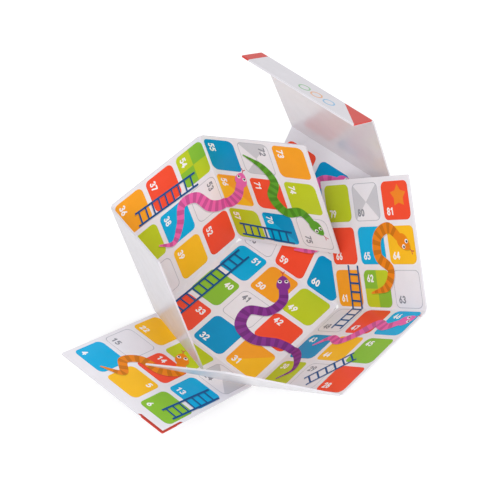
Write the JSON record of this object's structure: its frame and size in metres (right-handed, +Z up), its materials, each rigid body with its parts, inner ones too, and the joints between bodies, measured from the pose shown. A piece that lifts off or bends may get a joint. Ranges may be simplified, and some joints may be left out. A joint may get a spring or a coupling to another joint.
{
  "type": "folding game board",
  "caption": "Folding snakes and ladders board: square panels of numbered cells hinged at creases and slits, with a closing flap and lip, standing half unfolded.",
  "frame": {"origin": "centre of the middle panel's underside, which lies on the table", "axes": "+X across the board to the right as it is read, +Y up the board towards the last row, +Z up"},
  "size_m": [0.2716, 0.311, 0.2492],
  "materials": {
    "greyboard": "matt grey board",
    "play_print": "white paper with printed cells under gloss laminate",
    "wrap_paper": "white paper under gloss laminate, red printed corners",
    "liner_paper": "plain white paper under gloss laminate",
    "hinge_strip": "creased paper strip under gloss laminate"
  },
  "bodies": {
    "center": {"center_core": "greyboard", "center_print": "play_print", "center_wrap": "wrap_paper", "left_crease": "hinge_strip", "right_crease": "hinge_strip", "top_crease": "hinge_strip", "bottom_crease": "hinge_strip"},
    "left": {"left_core": "greyboard", "left_print": "play_print", "left_wrap": "wrap_paper", "top_left_crease": "hinge_strip", "bottom_left_crease": "hinge_strip"},
    "right": {"right_core": "greyboard", "right_print": "play_print", "right_wrap": "wrap_paper", "top_right_crease": "hinge_strip", "bottom_right_crease": "hinge_strip"},
    "top": {"top_core": "greyboard", "top_print": "play_print", "top_wrap": "wrap_paper", "flap_crease": "hinge_strip"},
    "bottom": {"bottom_core": "greyboard", "bottom_print": "play_print", "bottom_wrap": "wrap_paper"},
    "top_left": {"top_left_core": "greyboard", "top_left_print": "play_print", "top_left_wrap": "wrap_paper"},
    "bottom_left": {"bottom_left_core": "greyboard", "bottom_left_print": "play_print", "bottom_left_wrap": "wrap_paper"},
    "top_right": {"top_right_core": "greyboard", "top_right_print": "play_print", "top_right_wrap": "wrap_paper"},
    "bottom_right": {"bottom_right_core": "greyboard", "bottom_right_print": "play_print", "bottom_right_wrap": "wrap_paper"},
    "flap": {"flap_core": "greyboard", "flap_print": "liner_paper", "flap_wrap": "wrap_paper", "lip_crease": "hinge_strip"},
    "lip": {"lip_core": "greyboard", "lip_print": "liner_paper", "lip_wrap": "wrap_paper"}
  },
  "joints": [
    {"name": "left_fold", "type": "hinge", "parent": "center", "child": "left", "pos_m": [-0.0625, 0, 0.0015], "axis": [0, 1, 0], "range_deg": [-66, 1]},
    {"name": "right_fold", "type": "hinge", "parent": "center", "child": "right", "pos_m": [0.0625, 0, 0.0015], "axis": [0, -1, 0], "range_deg": [-40, 2]},
    {"name": "top_fold", "type": "hinge", "parent": "center", "child": "top", "pos_m": [0, 0.0607, 0.0015], "axis": [1, 0, 0], "range_deg": [-56, 1]},
    {"name": "bottom_fold", "type": "hinge", "parent": "center", "child": "bottom", "pos_m": [0, -0.0607, 0.0015], "axis": [-1, 0, 0], "range_deg": [-26, 10]},
    {"name": "top_left_fold", "type": "hinge", "parent": "left", "child": "top_left", "pos_m": [-0.0878, 0.0591, 0.05832], "axis": [0.4067, 0, -0.9135], "range_deg": [-1, 59]},
    {"name": "bottom_left_fold", "type": "hinge", "parent": "left", "child": "bottom_left", "pos_m": [-0.0878, -0.0591, 0.05832], "axis": [-0.4067, 0, 0.9135], "range_deg": [-1, 31]},
    {"name": "top_right_fold", "type": "hinge", "parent": "right", "child": "top_right", "pos_m": [0.11015, 0.0591, 0.04148], "axis": [0.766, 0, 0.6428], "range_deg": [-2, 2]},
    {"name": "bottom_right_fold", "type": "hinge", "parent": "right", "child": "bottom_right", "pos_m": [0.11015, -0.0591, 0.04148], "axis": [-0.766, 0, -0.6428], "range_deg": [-13, 1]},
    {"name": "flap_fold", "type": "hinge", "parent": "top", "child": "flap", "pos_m": [0, 0.13172, 0.10679], "axis": [1, 0, 0], "range_deg": [-55, 2]},
    {"name": "lip_fold", "type": "hinge", "parent": "flap", "child": "lip", "pos_m": [0, 0.08334, 0.23282], "axis": [1, 0, 0], "range_deg": [-40, 110]}
  ]
}
